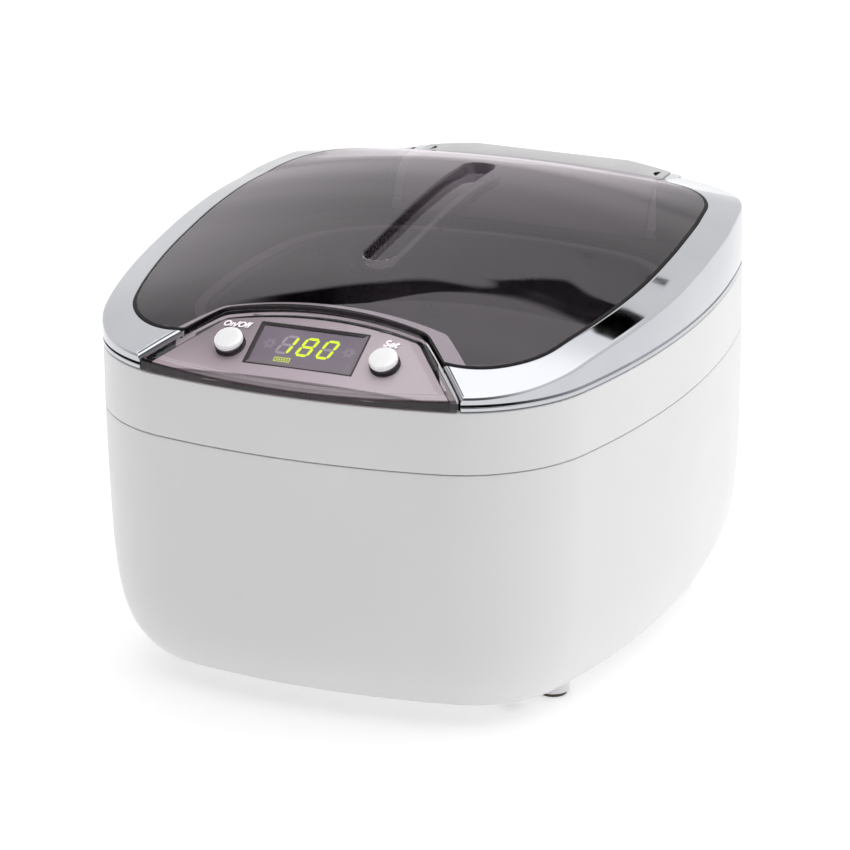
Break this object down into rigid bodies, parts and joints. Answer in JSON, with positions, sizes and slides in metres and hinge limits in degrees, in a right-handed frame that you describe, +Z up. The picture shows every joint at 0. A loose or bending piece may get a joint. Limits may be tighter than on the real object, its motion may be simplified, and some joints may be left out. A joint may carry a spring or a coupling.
{
  "type": "benchtop ultrasonic cleaner",
  "caption": "Benchtop ultrasonic bath for contact lenses and small items: white tub, chrome rimmed smoke lid on a rear hinge, steel tank, sloping panel with display and buttons.",
  "frame": {"origin": "on the table, under the middle of the plan", "axes": "+Z up, front faces -Y, +X to the right seen from the front, the lid hinge is at +Y"},
  "size_m": [0.1824, 0.2098, 0.1421],
  "materials": {
    "tub": "white moulded ABS, satin gloss",
    "band": "white moulded ABS, satin gloss",
    "feet": "dark moulded rubber",
    "bumpers": "translucent grey elastomer",
    "steel_tank": "deep drawn polished stainless steel",
    "gasket": "white silicone",
    "horn": "turned aluminium",
    "ceramic": "grey piezo ceramic",
    "copper": "copper beryllium strip",
    "backmass": "turned steel",
    "fastener": "zinc plated steel",
    "pcb": "green glass epoxy board",
    "ferrite": "dark ferrite and tape",
    "capacitor": "dark sleeve",
    "heatsink": "extruded aluminium",
    "chip": "black epoxy",
    "inlet": "black thermoplastic",
    "contact": "nickel plated brass",
    "panel_cover": "clear smoke acrylic",
    "panel_plate": "silver mauve satin print",
    "display_lens": "dark grey filter",
    "display_body": "dark grey display body",
    "button": "bright plated cap",
    "chrome_rim": "bright chrome plated ABS",
    "window": "smoke grey transparent polycarbonate",
    "frame": "dark moulded ABS",
    "hinge": "white moulded ABS"
  },
  "bodies": {
    "root": {"lower_housing": "tub", "upper_housing": "band", "rubber_feet": "feet", "lid_bumpers": "bumpers", "tank": "steel_tank", "tank_gasket": "gasket", "transducer_horn": "horn", "piezo_rings": "ceramic", "electrode_tabs": "copper", "transducer_backmass": "backmass", "transducer_bolt": "fastener", "driver_board": "pcb", "display_board": "pcb", "board_screws": "fastener", "housing_screws": "fastener", "panel_screws": "fastener", "board_transformer": "ferrite", "board_inductor": "ferrite", "board_capacitors": "capacitor", "heatsink": "heatsink", "power_transistors": "chip", "tact_switches": "chip", "power_inlet": "inlet", "inlet_pins": "contact", "panel_cover": "panel_cover", "panel_plate": "panel_plate", "display_window": "display_lens", "display_module": "display_body", "hinge_pins": "contact"},
    "lid": {"rim_left": "chrome_rim", "rim_right": "chrome_rim", "lid_window": "window", "lid_frame": "frame", "lid_screws": "fastener", "lid_seal": "gasket", "hinge_arms": "hinge"},
    "power_button": {"power_button": "button"},
    "set_button": {"set_button": "button"}
  },
  "joints": [
    {"name": "lid_hinge", "type": "hinge", "parent": "root", "child": "lid", "pos_m": [0, 0.0965, 0.1125], "axis": [-1, 0, 0], "range_deg": [0, 85]},
    {"name": "power_button_press", "type": "slide", "parent": "root", "child": "power_button", "axis": [0, 0.4952, -0.8688], "range_m": [0, 0.0006], "stiffness_N_per_m": 900, "springref_m": -0.0004},
    {"name": "set_button_press", "type": "slide", "parent": "root", "child": "set_button", "axis": [0, 0.4952, -0.8688], "range_m": [0, 0.0006], "stiffness_N_per_m": 900, "springref_m": -0.0004}
  ]
}
